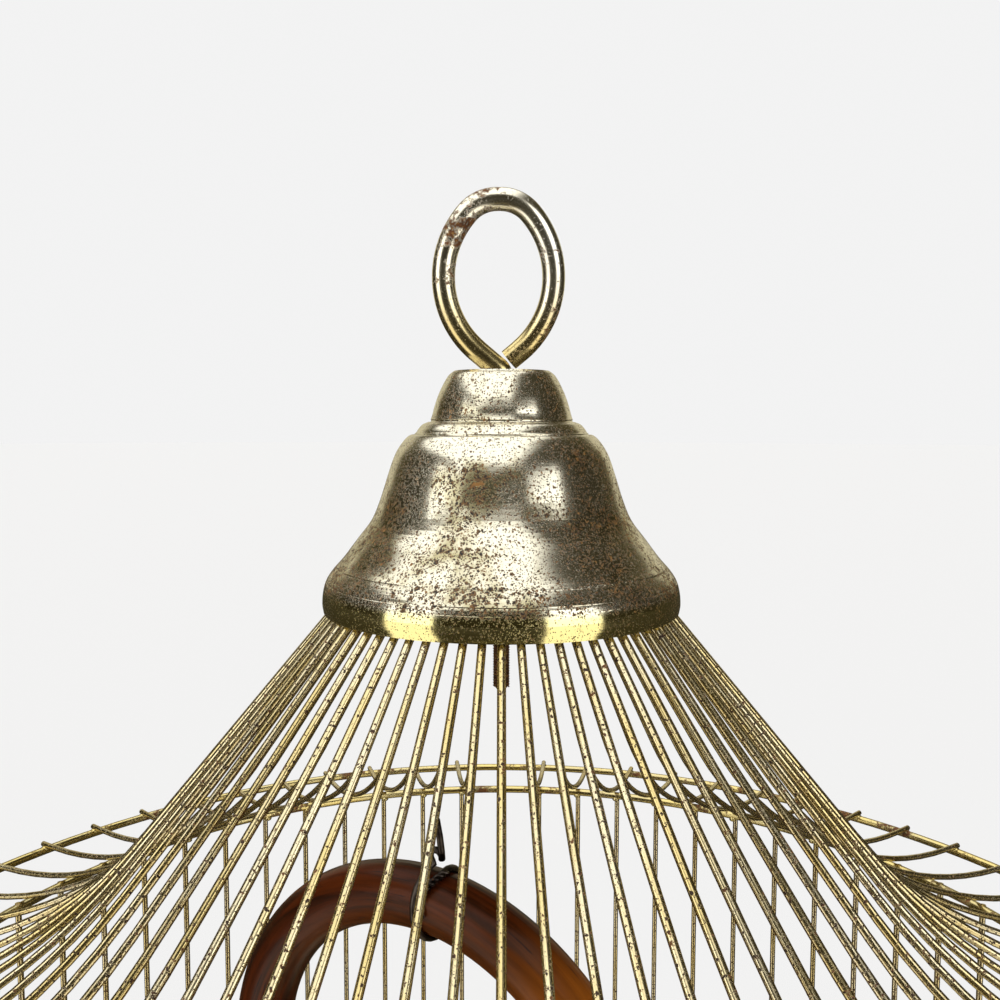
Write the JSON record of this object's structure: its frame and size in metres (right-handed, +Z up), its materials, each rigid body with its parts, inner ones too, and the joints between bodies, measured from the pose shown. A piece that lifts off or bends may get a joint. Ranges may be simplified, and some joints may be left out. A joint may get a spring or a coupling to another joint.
{
  "type": "bird cage on stand",
  "caption": "Round wire bird cage with a flared roof, bell cap and hanging eye, door, feeders, perches and slide-out tray, on a four-legged floor stand.",
  "frame": {"origin": "on the floor, on the cage axis, in the middle of the four feet", "axes": "+Z up along the cage axis, the door faces -Y, +X to the right seen from the door"},
  "size_m": [0.427, 0.427, 1.2915],
  "materials": {
    "brass_wire": "bright brass plating with rust nicks",
    "brass_rod": "brass plating with orange rust",
    "eye_brass": "polished brass plating, worn",
    "bell_metal": "pale spun brass plating, speckled with rust",
    "steel": "zinc plated",
    "bentwood": "dark red brown, glossy varnish",
    "perch_wood": "dark varnish",
    "tie_wire": "dark annealed iron wire",
    "cup_white": "white, glossy",
    "drum_brass": "spun sheet, brass plated, speckled",
    "tray_metal": "brass lacquer",
    "foot_rubber": "matte"
  },
  "bodies": {
    "stand": {"stand_hoop": "brass_rod", "stand_cradles": "brass_rod", "stand_legs": "brass_rod", "stand_brace": "brass_rod", "stand_feet": "foot_rubber"},
    "cage": {"hanging_eye": "eye_brass", "bell_cap": "bell_metal", "crown_hoop": "brass_rod", "crown_strap": "brass_rod", "crown_washer": "steel", "crown_nuts": "steel", "roof_wires": "brass_wire", "eave_hoop": "brass_rod", "top_hoop": "brass_rod", "header_hoop": "brass_rod", "sill_hoop": "brass_rod", "bottom_hoop": "brass_rod", "body_wires": "brass_wire", "door_posts": "brass_rod", "feeder_lintels": "brass_rod", "cup_brackets": "brass_rod", "floor_grille": "brass_wire", "base_drum": "drum_brass"},
    "door": {"door_frame": "brass_rod", "door_wires": "brass_wire", "door_hinge_eyes": "brass_rod", "door_clasp": "brass_rod"},
    "feeder_left": {"feeder_door_left": "brass_wire"},
    "feeder_right": {"feeder_door_right": "brass_wire"},
    "seed_cup": {"seed_cup": "cup_white"},
    "water_cup": {"water_cup": "cup_white"},
    "arch": {"bentwood_arch": "bentwood", "arch_bar": "perch_wood", "arch_tie": "tie_wire"},
    "perch": {"lower_perch": "perch_wood"},
    "tray": {"tray": "tray_metal", "tray_pull": "brass_rod"}
  },
  "joints": [
    {"name": "cage_lift", "type": "slide", "parent": "stand", "child": "cage", "axis": [0, 0, 1], "range_m": [0, 0.05]},
    {"name": "door_swing", "type": "hinge", "parent": "cage", "child": "door", "pos_m": [-0.06735, -0.1626, 0.88], "axis": [0, 0, 1], "range_deg": [-120, 0]},
    {"name": "feeder_left_slide", "type": "slide", "parent": "cage", "child": "feeder_left", "axis": [0, 0, 1], "range_m": [0, 0.055]},
    {"name": "feeder_right_slide", "type": "slide", "parent": "cage", "child": "feeder_right", "axis": [0, 0, 1], "range_m": [0, 0.055]},
    {"name": "seed_cup_lift", "type": "slide", "parent": "cage", "child": "seed_cup", "axis": [0, 0, 1], "range_m": [0, 0.045]},
    {"name": "water_cup_lift", "type": "slide", "parent": "cage", "child": "water_cup", "axis": [0, 0, 1], "range_m": [0, 0.045]},
    {"name": "arch_lift", "type": "slide", "parent": "cage", "child": "arch", "axis": [0, 0, 1], "range_m": [0, 0.02]},
    {"name": "perch_lift", "type": "slide", "parent": "cage", "child": "perch", "axis": [0, 0, 1], "range_m": [0, 0.03]},
    {"name": "tray_slide", "type": "slide", "parent": "cage", "child": "tray", "axis": [0, -1, 0], "range_m": [0, 0.2]}
  ]
}
